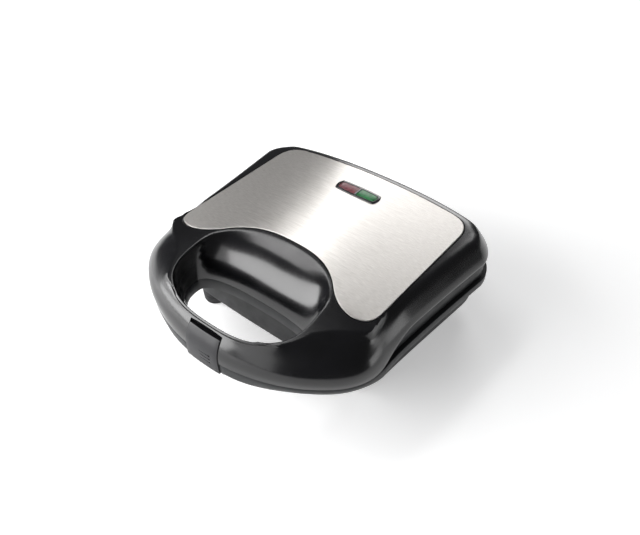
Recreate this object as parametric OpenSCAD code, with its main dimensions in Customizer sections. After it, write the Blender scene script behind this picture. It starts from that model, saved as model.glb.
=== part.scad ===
// Countertop sandwich toaster: a base and a hinged lid, each with a ridged
// grill plate, a bow handle round a finger opening and a front latch.
// Frame: millimetres, +Z up, +X to the right, -Y to the front (the handle).
// The origin is under the middle of the whole toaster, on the table.

/* [Outline] */
// Half width of the body where the front bow meets the sides
side_front = 104.5; // [102:0.5:107]
// Half width of the body at its rear corners
side_rear = 113.5; // [111:0.5:116]
// Distance from the middle to the front of the handle bow
bow_front = 113.5; // [111:0.5:115]
// Distance from the middle to the rear face
rear_face = 109; // [108:0.5:109]

// How far the lid swells out at the handle's two corners
swell = 1.6; // [0:0.2:2.4]
// How far the handle's lower edge is drawn in towards those corners
undercut = 3.4; // [0:0.2:4]

/* [Heights] */
// Height of the underside of the base tray above the table
tray_z = 13; // [10:0.5:16]
// Height of the lower edge of the base rim
rim_z = 40.5; // [39.5:0.5:42]
// Height of the lower edge of the handle's base half
grip_z = 38.5; // [38:0.5:39.5]
// Height of the parting line between base and lid
part_z = 48; // [47.5:0.25:48.5]
// Height at which the glossy lid shell starts on the sides and rear
shell_z = 62; // [60:0.5:63]
// Height of the lid's land round the steel plate
land_z = 79; // [78:0.5:80]
// How much the lid's top is crowned across its width
crown = 4; // [3:0.5:5]
// How far the handle's top falls from the land to the front
grip_fall = 6.7; // [5:0.1:8]

/* [Walls] */
// Wall thickness of the mouldings
wall = 2.5; // [2:0.1:3]
// Gap between the lid and the base when closed
part_gap = 0.3; // [0.2:0.1:0.5]
// Thickness of the steel top plate
steel_t = 0.8; // [0.6:0.1:1.2]

/* [Finger opening] */
// Half width of the opening at its rim
open_a = 57.5; // [56.5:0.5:60]
// Half width of the opening at the bottom
open_low_a = 55; // [53:0.5:56]
// Middle of the opening, measured forward
open_y = -66; // [-67:0.5:-65]
// Reach of the rim to the front of that middle
open_front = 37.5; // [36:0.5:38.5]
// Reach of the lower edge to the front of that middle
open_low_front = 29; // [27:0.5:31]
// Reach of the lower edge to the rear of that middle
open_rear = 14.5; // [13:0.5:15]
// How far the rounded rear edge rolls back to the steel plate
roll = 31; // [28:0.5:33]

/* [Grill plates] */
// Half width of a grill plate
grill_x = 88; // [85:0.5:88]
// Front edge of a grill plate
grill_front = -39; // [-39:0.5:-36]
// Rear edge of a grill plate
grill_rear = 83; // [80:0.5:84]
// Corner radius of a grill plate
grill_r = 14; // [10:1:18]
// Number of ridges on a grill plate
ridges = 11; // [7:2:13]
// Height of a ridge
ridge_h = 2; // [1:0.25:2.5]

/* [Heating] */
// Radius of the tubular heating elements
tube_r = 3.3; // [2.8:0.1:3.6]
// Half width of the heating loop
loop_x = 60; // [50:1:66]

/* [Lamps] */
// Middle of the lamp window, measured to the rear
lamp_y = 64; // [60:0.5:66]
// Half length of the lamp window
lamp_x = 20.5; // [18:0.5:22]
// Half depth of the lamp window
lamp_d = 7; // [6:0.1:7.5]

/* [Hinge] */
// Distance of the hinge axis to the rear
hinge_y = 109.3; // [109.3:0.1:109.6]
// Distance of each hinge from the middle
hinge_x = 62; // [55:1:68]
// Radius of the hinge knuckles
knuckle_r = 4.5; // [4:0.1:4.7]
// Radius of the hinge pins
pin_r = 2; // [1.6:0.1:2.2]

/* [Latch] */
// Half width of the latch clip at its lower edge
clip_x = 15.5; // [14.5:0.5:17]
// Half width of the latch clip at its upper edge
clip_top_x = 14.2; // [13.5:0.1:15]
// Height of the latch clip's upper edge
clip_top = 66; // [65:0.5:67]
// Height of the latch clip's lower edge
clip_low = 38.3; // [38:0.1:39]
// Radius of the latch pin
latch_pin_r = 1.5; // [1.2:0.1:1.6]

/* [Feet and cord inlet] */
// Radius of the rubber feet
foot_r = 10.5; // [8:0.5:11]
// Radius of the hole in the cord inlet bush
cord_r = 3.5; // [3:0.1:4]

/* [Hidden] */

// Fineness of round parts
fine = 48;
// A small overlap that keeps cuts clean
eps = 0.01;
// A length past every face of the toaster
far = 300;

// ---- plan outlines -------------------------------------------------------
// The right half runs from the front middle to the rear middle
body_path = [
  [[0, -bow_front], [32, -bow_front], [60, -bow_front + 9], [82, -87.5]],
  [[82, -87.5], [94.7, -77.7], [side_front + 1.4, -66], [side_front, -42]],
  [[side_front, -42], [side_front - 1, -24], [side_rear - 4, 35],
   [side_rear, 70]],
  [[side_rear, 70], [side_rear + 1, 82], [side_rear - 9, rear_face - 9],
   [88, rear_face - 5.5]],
  [[88, rear_face - 5.5], [64, rear_face - 0.7], [30, rear_face],
   [0, rear_face]]];
body_steps = [7, 5, 5, 6, 5];
tray_front = -50.5;
tray_path = [
  [[0, tray_front], [25, tray_front], [48, -50], [70, -48.5]],
  [[70, -48.5], [85, -47.5], [94.5, -42], [95.5, -28]],
  [[95.5, -28], [97, 0], [101, 40], [103.5, 68]],
  [[103.5, 68], [104.5, 86], [99, rear_face - 13.5], [82, rear_face - 12]],
  [[82, rear_face - 12], [55, rear_face - 10], [28, rear_face - 9],
   [0, rear_face - 9]]];
tray_steps = [3, 5, 4, 6, 4];
steel_path = [
  [[0, -14.5], [22, -14.5], [36, -19], [49, -32]],
  [[49, -32], [57, -41], [66, -48], [78, -47.5]],
  [[78, -47.5], [86, -47], [90, -42], [90, -33]],
  [[90, -33], [90, 0], [90, 40], [90, 68]],
  [[90, 68], [90, 80], [85, 87], [74, 88.5]],
  [[74, 88.5], [50, 90.8], [25, 91.5], [0, 91.5]]];
steel_steps = [8, 6, 5, 2, 6, 5];

function bez(p, t) = pow(1 - t, 3) * p[0] + 3 * t * pow(1 - t, 2) * p[1]
  + 3 * t * t * (1 - t) * p[2] + pow(t, 3) * p[3];
function half(path, steps) = [for (s = [0:len(path) - 1])
  for (i = [0:steps[s] - 1]) bez(path[s], i / steps[s])];
function closed(path, steps) = let (r = half(path, steps), h = len(r))
  concat(r, [path[len(path) - 1][3]],
    [for (i = [h - 1:-1:1]) [-r[i][0], r[i][1]]]);
body = closed(body_path, body_steps);
tray = closed(tray_path, tray_steps);
steel = closed(steel_path, steel_steps);
n_body = len(body);
h_body = n_body / 2;

// Unit vector that points inward at point i of a closed outline
function inward(o, i) = let (n = len(o), d = o[(i + 1) % n] - o[(i + n - 1) % n])
  [-d[1], d[0]] / norm(d);
function inset(o, d) = [for (i = [0:len(o) - 1]) o[i] + inward(o, i) * d];
function ease(a, b, x) = let (t = min(1, max(0, (x - a) / (b - a))))
  t * t * (3 - 2 * t);

// ---- lid surface ---------------------------------------------------------
// 1 along the front bow, 0 along the sides and the rear
function front_part(y) = 1 - ease(-58, -12, y);
// Height of the lid's top at y, before the crown
function top_z(y) = land_z - grip_fall * pow(max(0, -45 - y) / 60, 1.2);
// Crown of the lid's top, which fades out over the handle
crown_reach = 95;
function crown_at(x, y) = crown * ease(-90, -40, y)
  * max(0, 1 - pow(x / crown_reach, 2));
// Inset and height of the shell's outer surface, from its lower edge up
side_profile = [[1.6, shell_z], [1.6, shell_z + 1.8], [3.3, shell_z + 5.4],
  [6, land_z - 7.4], [9.1, land_z - 3.1], [11.8, land_z - 0.6]];
front_profile = [[0, part_z + part_gap], [0.3, 53.5], [1.6, 58.5], [4.2, 63.5],
  [7.2, 67.8], [9.2, 70.8]];
// Share of the crown that each level takes
crown_share = [0, 0.05, 0.25, 0.55, 0.85, 1];
crest_in = 1.4;
// Share of the swell at the handle's corners that each level takes
swell_share = [0, 0.7, 1, 0.7, 0.3, 0];
levels = len(side_profile);
function mix(a, b, w) = a * (1 - w) + b * w;
function corner_part(p) = ease(25, 75, abs(p[0])) * (1 - ease(-72, -42, p[1]));
function lid_point(k, i, off, drop) = let (p = body[i], w = front_part(p[1]),
  q = mix(side_profile[k], front_profile[k], w),
  c = p + inward(body, i)
    * (q[0] + off - swell * swell_share[k] * corner_part(p)))
  [c[0], c[1], q[1] - drop + crown_share[k] * crown_at(c[0], c[1])];
function edge_z(y) = mix(shell_z, part_z + part_gap, front_part(y));

// A closed solid through rings of n points that share one mirror line;
// across the top it is a grid, so that the crown shows
cells = 10;
module ring_solid(rings, n, crowned) {
  h = n / 2;
  r = len(rings);
  top = rings[r - 1];
  function mirrored(i) = (n - i) % n;
  points = concat([for (ring = rings) for (p = ring) p],
    [for (i = [1:h - 1]) for (j = [1:cells - 1])
      let (a = top[i], x = a[0] * (1 - 2 * j / cells))
      [x, a[1], a[2] + (crowned
        ? crown_at(x, a[1]) - crown_at(a[0], a[1]) : 0)]]);
  function at(i, j) = j == 0 ? (r - 1) * n + i
    : j == cells ? (r - 1) * n + mirrored(i)
    : r * n + (i - 1) * (cells - 1) + j - 1;
  sides = [for (k = [0:r - 2]) for (i = [0:n - 1]) for (q = [0, 1])
    let (a = k * n + i, b = k * n + (i + 1) % n)
    q == 0 ? [a, a + n, b] : [b, a + n, b + n]];
  lid = concat([for (j = [0:cells - 1]) [(r - 1) * n, at(1, j + 1), at(1, j)]],
    [for (i = [1:h - 2]) for (j = [0:cells - 1]) for (q = [0, 1])
      q == 0 ? [at(i, j), at(i, j + 1), at(i + 1, j)]
        : [at(i + 1, j), at(i, j + 1), at(i + 1, j + 1)]],
    [for (j = [0:cells - 1]) [at(h - 1, j), at(h - 1, j + 1),
      (r - 1) * n + h]]);
  floor = concat([[0, 1, n - 1]],
    [for (i = [1:h - 2]) for (q = [0, 1])
      q == 0 ? [i, i + 1, mirrored(i)] : [i + 1, mirrored(i + 1), mirrored(i)]],
    [[h - 1, h, h + 1]]);
  polyhedron(points, concat(sides, lid, floor));
}

// The lid's outer body, or its cavity when off and drop are the wall
module lid_body(off, drop, low) {
  start = is_undef(low) ? 0 : 1;
  foot = is_undef(low) ? []
    : [[for (i = [0:n_body - 1]) let (q = lid_point(0, i, off, 0))
        [q[0], q[1], low]]];
  crest = [for (i = [0:n_body - 1])
    let (q = lid_point(levels - 1, i, off + crest_in, 0))
    [q[0], q[1], top_z(q[1]) + crown_at(q[0], q[1]) - drop]];
  ring_solid(concat(foot, [for (k = [start:levels - 1])
    [for (i = [0:n_body - 1]) lid_point(k, i, off, drop)]], [crest]),
    n_body, true);
}

// A closed solid through level rings, each at one height
module stack(rings) {
  n = len(rings[0]);
  m = len(rings);
  walls = [for (k = [0:m - 2]) for (i = [0:n - 1]) for (q = [0, 1])
    let (a = k * n + i, b = k * n + (i + 1) % n)
    q == 0 ? [a, a + n, b] : [b, a + n, b + n]];
  polyhedron([for (ring = rings) for (p = ring) p],
    concat(walls, [[for (i = [0:n - 1]) i]],
      [[for (i = [n - 1:-1:0]) (m - 1) * n + i]]));
}
function level(o, z) = [for (p = o) [p[0], p[1], z]];

// Rounded oval of the finger opening, with its own reach to front and rear
oval_points = 56;
oval_power = 0.8;
function signed_pow(v) = sign(v) * pow(abs(v), oval_power);
function oval(a, ahead, behind) = [for (i = [0:oval_points - 1])
  let (t = 360 * i / oval_points, s = sin(t))
  [a * signed_pow(cos(t)), open_y + (s < 0 ? ahead : behind) * signed_pow(s)]];
// Height, share of the rim size and share of the rear roll
open_levels = [[30, 0, 0], [44, 0, 0], [50, 0.08, 0], [56, 0.25, 0.01],
  [61, 0.5, 0.04], [66, 0.8, 0.12], [70, 0.95, 0.24], [73.5, 1, 0.4],
  [76, 1, 0.57], [78, 1, 0.78], [79, 1, 0.95], [84, 1, 1.15]];
function open_ring(c, g) = oval(mix(open_low_a, open_a, c[1]) + g,
  mix(open_low_front, open_front, c[1]) + g, open_rear + g + roll * c[2]);
module opening(g) stack([for (c = open_levels) level(open_ring(c, g), c[0])]);
module low_opening(g) polygon(open_ring(open_levels[0], g));

// ---- shared shapes -------------------------------------------------------
module slab(z0, z1) translate([0, 0, z0]) linear_extrude(z1 - z0) children();
module grill_area(g) translate([0, (grill_front + grill_rear) / 2])
  rounded_rect(grill_x + g, (grill_rear - grill_front) / 2 + g, grill_r + g);
module rounded_rect(a, b, r) {
  square([2 * a, 2 * (b - r)], center = true);
  square([2 * (a - r), 2 * b], center = true);
  for (sx = [-1, 1], sy = [-1, 1])
    translate([sx * (a - r), sy * (b - r)]) circle(r, $fn = fine);
}
module along_x(r, x0, x1) translate([x0, 0, 0]) rotate([0, 90, 0])
  cylinder(r = r, h = x1 - x0, $fn = fine);
module forward_of(y) translate([-far, y - far]) square([2 * far, far]);
module behind(y) translate([-far, y]) square([2 * far, far]);

// ---- base ----------------------------------------------------------------
post_spots = [[90, -26], [95, 70]];
pan_spots = [[-64, -20], [64, -20], [-64, 50], [64, 50]];
foot_spots = [[71, -36], [78, 80]];
// Height of the cord inlet, and half the width of its bush's square neck
bush_z = 28;
bush_half = 7;
bush_long = 13;
hinge_half = 10;
frame_top_low = part_z - wall;
screw_head_z = 22;

module tray_solid(off, low, high) stack([level(inset(tray, off + 5), low),
  level(inset(tray, off + 2), low + 1), level(inset(tray, off + 0.6), low + 3.5),
  level(inset(tray, off), high)]);
module base_tray() color("#26282b") difference() {
  union() {
    difference() {
      tray_solid(0, tray_z, frame_top_low);
      tray_solid(wall, tray_z + wall, part_z + 20);
    }
    for (p = post_spots, sx = [-1, 1]) translate([sx * p[0], p[1], tray_z])
      cylinder(r = 4.2, h = ledge_z - tray_z, $fn = fine);
    for (p = pan_spots) translate([p[0], p[1], tray_z + 1])
      cylinder(r = 4, h = pan_low - tray_z - 1, $fn = fine);
    for (sx = [-1, 1]) translate([sx * hinge_x - hinge_half, rear_face - 12, 34])
      cube([2 * hinge_half, hinge_seat - rear_face + 12, frame_top_low - 34]);
    for (x = [-30, -10, 10, 30]) translate([x - 0.8, -46.6, tray_z + 1])
      cube([1.6, 5, 24]);
  }
  for (p = post_spots, sx = [-1, 1]) translate([sx * p[0], p[1], 0]) {
    cylinder(r = 1.7, h = far, $fn = fine);
    cylinder(r = 2.9, h = screw_head_z, $fn = fine);
  }
  for (p = foot_spots, sx = [-1, 1]) translate([sx * p[0], p[1], 0])
    cylinder(r = 3.2, h = tray_z + 4, $fn = fine);
  for (i = [-4:4]) translate([i * 9 - 1.25, 10, 0]) cube([2.5, 30, tray_z + 5]);
  translate([-bush_half - 0.2, 80, bush_z - bush_half - 0.2])
    cube([2 * bush_half + 0.4, 40, 2 * bush_half + 0.4]);
}

// Room that the mouldings leave round both hinges
hinge_seat = 99.5;
module hinge_room(low, high) for (sx = [-1, 1])
  translate([sx * hinge_x - hinge_half - 1.6, hinge_seat - 0.2, low])
    cube([2 * hinge_half + 3.2, 40, high - low]);

ledge_in = 3.5;
ledge_z = 41.5;
flange_low = 44;
module rim_solid(low) stack([level(inset(body, 1.6), low),
  level(inset(body, 0.4), low + 0.6), level(body, low + 2),
  level(body, part_z - 0.6), level(inset(body, 0.5), part_z)]);
// The handle's base half hangs lower than the rim along the sides, and its
// lower edge is drawn in towards the corners
grip_y = -46;
function grip_inset(d, share) = [for (i = [0:n_body - 1])
  body[i] + inward(body, i) * (d + share * undercut * corner_part(body[i]))];
module grip_solid() stack([level(grip_inset(1.6, 1), grip_z),
  level(grip_inset(0.4, 1), grip_z + 0.6), level(grip_inset(0, 0.55), grip_z + 3),
  level(grip_inset(0, 0.15), grip_z + 6), level(body, part_z - 0.6),
  level(inset(body, 0.5), part_z)]);
module base_frame() color("#2c2e31") difference() {
  union() {
    difference() {
      rim_solid(rim_z);
      slab(rim_z - 1, frame_top_low) difference() {
        polygon(inset(body, wall));
        forward_of(-52);
      }
      slab(rim_z - 5, far) forward_of(grip_y - 1);
    }
    difference() {
      grip_solid();
      slab(grip_z - 1, far) behind(grip_y);
      slab(grip_z - 1, frame_top_low) intersection() {
        polygon(grip_inset(wall, 1));
        behind(tray_front - 0.3);
      }
      slab(grip_z - 1, frame_top_low) difference() {
        intersection() {
          polygon(grip_inset(wall, 1));
          forward_of(-54);
        }
        low_opening(wall);
      }
    }
    slab(ledge_z, part_z) grill_area(2.4);
    slab(grip_z, part_z) difference() {
      low_opening(wall);
      behind(tray_front - 0.3);
    }
    for (t = [-60, -25, 25, 60]) grip_rib(t);
    translate([-clip_x - 2.6, -bow_front + 1.5, grip_z])
      cube([2 * clip_x + 5.2, latch_pocket + 0.7, part_z - 0.5 - grip_z]);
    for (p = post_spots, sx = [-1, 1]) translate([sx * p[0], p[1], ledge_z])
      cylinder(r = 2.9, h = part_z - 1 - ledge_z, $fn = fine);
  }
  slab(0, far) grill_area(-ledge_in);
  slab(flange_low, far) grill_area(0.4);
  slab(0, far) low_opening(0);
  difference() {
    translate([-clip_x - 0.6, -bow_front - 10, grip_z - 5])
      cube([2 * clip_x + 1.2, 10 + latch_pocket, 30]);
    translate([-8.5, catch_y - catch_in, catch_z])
      cube([17, catch_in + 1, part_z - 0.5 - catch_z]);
  }
  for (p = post_spots, sx = [-1, 1]) translate([sx * p[0], p[1], 0])
    cylinder(r = 1.5, h = part_z - 1.2, $fn = fine);
  plate_screw_holes(0, flange_low + 1);
  hinge_room(part_z - 12, part_z + 12);
}
// Ribs across the hollow of the handle's base half
module grip_rib(x) slab(grip_z + 1.5, part_z - 1) intersection() {
  translate([x - 0.8, -far]) square([1.6, far - 55]);
  difference() {
    polygon(grip_inset(1, 1));
    low_opening(1);
  }
}
latch_pocket = 5;
catch_y = -bow_front + latch_pocket;
// The lip that the latch's hook holds: how far it stands out, and its height
catch_in = 1.7;
catch_z = 43.3;

grill_mid = (grill_front + grill_rear) / 2;
plate_screw_spots = [[-74, grill_front + 1.6], [74, grill_front + 1.6],
  [-74, grill_rear - 1.6], [74, grill_rear - 1.6]];
module plate_screw_holes(z0, z1) for (p = plate_screw_spots)
  translate([p[0], p[1], z0]) cylinder(r = 1.4, h = z1 - z0, $fn = fine);

// One grill plate, face up, with its flange resting at flange_low: the height
// of its underside, of its sunk face and the spacing of the ridges
plate_low = 38;
plate_face = 42;
ridge_gap = 15;
module grill_plate() difference() {
  union() {
    difference() {
      union() {
        slab(flange_low, part_z - 0.5) grill_area(0);
        slab(plate_low, flange_low + eps) grill_area(-ledge_in - 0.5);
      }
      slab(plate_face, part_z + 1) grill_area(-7);
    }
    intersection() {
      slab(plate_face - 1, plate_face + ridge_h) grill_area(-6);
      for (i = [0:ridges - 1])
        translate([(i - (ridges - 1) / 2) * ridge_gap, grill_mid, plate_face])
          rotate([90, 0, 0]) cylinder(r = ridge_h,
            h = grill_rear - grill_front - 10, center = true, $fn = 24);
    }
  }
  plate_screw_holes(flange_low - 1, flange_low + 2.2);
  slab(part_z - 2, part_z + 1) translate([-5, grill_front - 1])
    square([10, 9]);
}
module flip_to_lid() translate([0, 0, 2 * part_z + part_gap])
  mirror([0, 0, 1]) children();
module lower_grill_plate() color("#1c1c1e") grill_plate();
module upper_grill_plate() color("#1c1c1e") flip_to_lid() grill_plate();

// Tubular element: a loop open at the rear with two cold ends
heater_z = plate_low - tube_r;
bend = 16;
loop_front = grill_mid - 36;
loop_rear = grill_mid + 34;
module tube_y(x, y0, y1) translate([x, y0, heater_z]) rotate([-90, 0, 0])
  cylinder(r = tube_r, h = y1 - y0, $fn = fine);
module tube_x(y, x0, x1) translate([x0, y, heater_z]) rotate([0, 90, 0])
  cylinder(r = tube_r, h = x1 - x0, $fn = fine);
module elbow(x, y, turn) translate([x, y, heater_z]) rotate(turn)
  rotate_extrude(angle = 90, $fn = 64) translate([bend, 0])
    circle(tube_r, $fn = fine);
module heater() {
  tube_x(loop_front, -loop_x + bend, loop_x - bend);
  elbow(-loop_x + bend, loop_front + bend, 180);
  elbow(loop_x - bend, loop_front + bend, 270);
  tube_y(-loop_x, loop_front + bend, loop_rear - bend);
  tube_y(loop_x, loop_front + bend, loop_rear - bend);
  elbow(-loop_x + bend, loop_rear - bend, 90);
  elbow(loop_x - bend, loop_rear - bend, 0);
  tube_x(loop_rear, -loop_x + bend, -14);
  tube_x(loop_rear, 14, loop_x - bend);
  for (sx = [-1, 1]) translate([sx * 14 - (sx > 0 ? 8 : 0), loop_rear,
    heater_z]) rotate([0, 90, 0]) cylinder(r = 1.4, h = 8, $fn = fine);
}
module lower_heater() color("#8d8a86") heater();
module upper_heater() color("#8d8a86") flip_to_lid() heater();

// Straps that hold the tube up against the plate
clip_spots = [[-loop_x, grill_mid], [loop_x, grill_mid]];
module heater_clips() for (p = clip_spots)
  translate([p[0], p[1], 0]) difference() {
    translate([-7.5, -6, plate_low - 2 * tube_r - 1.2])
      cube([15, 12, 2 * tube_r + 1.2]);
    translate([-tube_r - 0.3, -7, plate_low - 2 * tube_r - 0.2])
      cube([2 * tube_r + 0.6, 14, 2 * tube_r + 1]);
    for (sx = [-1, 1]) translate([sx * 9.5 - 4, -7, plate_low - 2 * tube_r - 6.2])
      cube([8, 14, 2 * tube_r + 5]);
  }
module lower_heater_clips() color("#b8b9bb") heater_clips();
module upper_heater_clips() color("#b8b9bb") flip_to_lid() heater_clips();

// Bright sheet pan behind an element
pan_low = 21;
pan_high = 9;
pan_t = 0.8;
pan_half = [74, 44];
pan_mid = 15;
module pan_area(g) translate([0, pan_mid])
  rounded_rect(pan_half[0] - g, pan_half[1] - g, 10 - g);
module reflector() difference() {
  slab(pan_low, pan_low + pan_high) pan_area(0);
  slab(pan_low + pan_t, pan_low + pan_high + 1) pan_area(pan_t);
  for (p = pan_spots) translate([p[0], p[1], pan_low - 1])
    cylinder(r = 1.6, h = 4, $fn = fine);
  for (i = [-2:2]) translate([i * pan_half[0] / 6 - 2, pan_mid - 10, pan_low - 1])
    cube([4, 30, 4]);
}
module lower_reflector() color("#c9cacc") reflector();
module upper_reflector() color("#c9cacc") flip_to_lid() reflector();

module plate_screws() for (p = plate_screw_spots) translate([p[0], p[1], 0]) {
  translate([0, 0, ledge_z - 2]) cylinder(r = 2.2, h = 2, $fn = fine);
  translate([0, 0, ledge_z - eps])
    cylinder(r = 1.25, h = flange_low + 2 - ledge_z, $fn = fine);
}
module lower_plate_screws() color("#a9aaac") plate_screws();
module upper_plate_screws() color("#a9aaac") flip_to_lid() plate_screws();

module thermostat() color("#d9d4c6") translate([0, grill_mid, 0]) {
  translate([0, 0, plate_low - 9]) cylinder(r = 8, h = 9, $fn = fine);
  translate([-13, -4, plate_low - 1]) cube([26, 8, 1]);
  for (sx = [-1, 1]) translate([sx * 4 - 1.5, -3, plate_low - 13.5])
    cube([3, 0.8, 5]);
}
fuse_x = 22;
fuse_long = 22;
saddle = [3, 7, 7];
module thermal_fuse() color("#c8b58a")
  translate([fuse_x, grill_mid + 16, plate_low]) {
    translate([0, 0, -4]) rotate([0, 90, 0])
      cylinder(r = 2.2, h = fuse_long, $fn = fine);
    for (x = [3, fuse_long - 6]) translate([x, -saddle[1] / 2, -saddle[2]])
      cube(saddle);
  }
module terminal_block() color("#e6e3da") difference() {
  translate([28, 72, tray_z + wall]) cube([32, 16, 13]);
  for (i = [0:2]) translate([34 + 10 * i, 66, tray_z + wall + 6])
    rotate([-90, 0, 0]) cylinder(r = 2, h = 30, $fn = fine);
  for (i = [0:2]) translate([34 + 10 * i, 80, tray_z + wall + 6])
    cylinder(r = 2.2, h = 20, $fn = fine);
}
// Rubber bush with a square neck and a flange on each side of the tray's wall
module bush_block(half, y0, y1) translate([-half, y0, bush_z - half])
  cube([2 * half, y1 - y0, 2 * half]);
module cord_bush() color("#141414") difference() {
  inner = rear_face - 18;
  outer = inner + 9;
  union() {
    bush_block(bush_half, inner, inner + bush_long);
    bush_block(bush_half + 2.5, outer, outer + 2.6);
    bush_block(bush_half + 2, outer - 3.4 - wall, outer - 0.8 - wall);
  }
  translate([0, inner - 1, bush_z]) rotate([-90, 0, 0])
    cylinder(r = cord_r, h = bush_long + 2, $fn = fine);
}
module cord_clamp() color("#2f3033") difference() {
  translate([-13, 76, tray_z + wall]) cube([26, 9, 17]);
  translate([0, 70, bush_z]) rotate([-90, 0, 0])
    cylinder(r = cord_r, h = 30, $fn = fine);
  for (sx = [-1, 1]) translate([sx * 9, 80.5, tray_z + 9])
    cylinder(r = 1.6, h = 20, $fn = fine);
}
module base_screws() color("#a9aaac") for (p = post_spots, sx = [-1, 1])
  translate([sx * p[0], p[1], screw_head_z]) {
    translate([0, 0, -2.4]) cylinder(r = 2.6, h = 2.4, $fn = fine);
    translate([0, 0, -eps]) cylinder(r = 1.4, h = 24, $fn = fine);
  }

module foot(x, y) color("#19191a") translate([x, y, 0]) {
  cylinder(r1 = foot_r - 1.2, r2 = foot_r - 0.4, h = 2, $fn = fine);
  translate([0, 0, 2 - eps]) cylinder(r1 = foot_r - 0.4, r2 = foot_r,
    h = tray_z - 2 + eps, $fn = fine);
  cylinder(r = 3, h = tray_z + 3, $fn = fine);
  translate([0, 0, tray_z + wall]) cylinder(r = 4, h = 1.5, $fn = fine);
}
module foot_front_left() foot(-foot_spots[0][0], foot_spots[0][1]);
module foot_front_right() foot(foot_spots[0][0], foot_spots[0][1]);
module foot_rear_left() foot(-foot_spots[1][0], foot_spots[1][1]);
module foot_rear_right() foot(foot_spots[1][0], foot_spots[1][1]);

// ---- hinges --------------------------------------------------------------
ear_in = 5.8;
pin_bore = pin_r + 0.05;
module at_hinge(sx) translate([sx * hinge_x, hinge_y, part_z]) children();
seat = hinge_seat - hinge_y;
module base_hinge(sx) color("#303236") at_hinge(sx) difference() {
  union() {
    for (s = [-1, 1]) {
      along_x(knuckle_r, s > 0 ? ear_in : -hinge_half,
        s > 0 ? hinge_half : -ear_in);
      translate([s > 0 ? ear_in : -hinge_half, seat, -knuckle_r])
        cube([hinge_half - ear_in, -seat, knuckle_r - 0.3]);
    }
    translate([-hinge_half, seat, -11.5]) cube([2 * hinge_half, 4, 11.2]);
  }
  along_x(pin_bore, -20, 20);
}
lid_floor = part_gap + wall;
// How far the lid hinge's leaf reaches in, clear of the plate's seat
leaf_in = min(20, hinge_y - grill_rear - 3);
module lid_hinge(sx) color("#303236") at_hinge(sx) difference() {
  union() {
    along_x(knuckle_r, -ear_in + 0.3, ear_in - 0.3);
    translate([-ear_in + 0.3, -16, lid_floor])
      cube([2 * ear_in - 0.6, 15, 3.6]);
    translate([-ear_in + 0.3, -4, 0]) cube([2 * ear_in - 0.6, 3, 4]);
    translate([-hinge_half, -leaf_in, lid_floor])
      cube([2 * hinge_half, leaf_in - 10.4, 3]);
  }
  along_x(pin_bore, -20, 20);
  translate([0, -15, -5]) cylinder(r = 1.6, h = 20, $fn = fine);
}
module hinge_pin(sx) color("#b4b5b7") at_hinge(sx) {
  along_x(pin_r, -hinge_half - 0.5, hinge_half + 0.5);
  along_x(pin_r + 0.8, -hinge_half - 1.3, -hinge_half - 0.1);
  along_x(pin_r + 0.8, hinge_half + 0.1, hinge_half + 1.3);
}
module base_hinge_left() base_hinge(-1);
module base_hinge_right() base_hinge(1);
module lid_hinge_left() lid_hinge(-1);
module lid_hinge_right() lid_hinge(1);
module hinge_pin_left() hinge_pin(-1);
module hinge_pin_right() hinge_pin(1);

// ---- lid -----------------------------------------------------------------
// Heights between which the lid's top is cut
top_low = shell_z - 2;
top_high = land_z + 21;
// The space above the lid's crowned top, lowered by drop
module above_crown(drop) difference() {
  slab(top_low, top_high) square([2 * far, 2 * far], center = true);
  crown_bar(drop);
}
arc_cells = 18;
module crown_bar(drop) translate([0, far, 0]) rotate([90, 0, 0])
  linear_extrude(2 * far) polygon(concat([[-crown_reach, 0]],
    [for (i = [0:arc_cells]) let (x = crown_reach * (2 * i / arc_cells - 1))
      [x, land_z + crown_at(x, 0) - drop]], [[crown_reach, 0]]));

module lid_shell() color("#0d0d0f") difference() {
  lid_body(0, 0);
  difference() {
    lid_body(wall, wall, 20);
    opening(wall);
    for (x = [-lid_post_x, lid_post_x]) translate([x, lid_post_y,
      part_z + lid_floor]) cylinder(r = 3.6, h = 60, $fn = 32);
    for (p = pan_spots) translate([p[0], p[1], 2 * part_z + part_gap - pan_low])
      cylinder(r = 4, h = 20, $fn = 32);
  }
  opening(0);
  intersection() {
    slab(top_low, top_high) polygon(inset(steel, -0.4));
    above_crown(steel_t - steel_proud);
  }
  lamp_hole();
  clip_room();
  in_x(cheek_x + cheek_t + 0.9) polygon([[-107.9, 50], [-107.9, 63.3],
    [-105.6, 67.2], [-100, 67.2], [-100, 50]]);
  for (x = [-lid_post_x, lid_post_x]) translate([x, lid_post_y, 20])
    cylinder(r = 1.5, h = 44, $fn = 24);
}
steel_proud = 0.3;
lid_post_x = 72;
lid_post_y = -70;
// Room for the clip in the handle, wider at the bottom
module clip_room() translate([0, -105.6, 0]) rotate([90, 0, 0])
  linear_extrude(20) polygon([[-clip_x - 0.5, 30], [clip_x + 0.5, 30],
    [clip_top_x + 0.4, 71.2], [-clip_top_x - 0.4, 71.2]]);
module lamp_hole() translate([0, lamp_y]) slab(top_low, top_high)
  square([2 * lamp_x - 8, 2 * lamp_d - 4], center = true);

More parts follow.
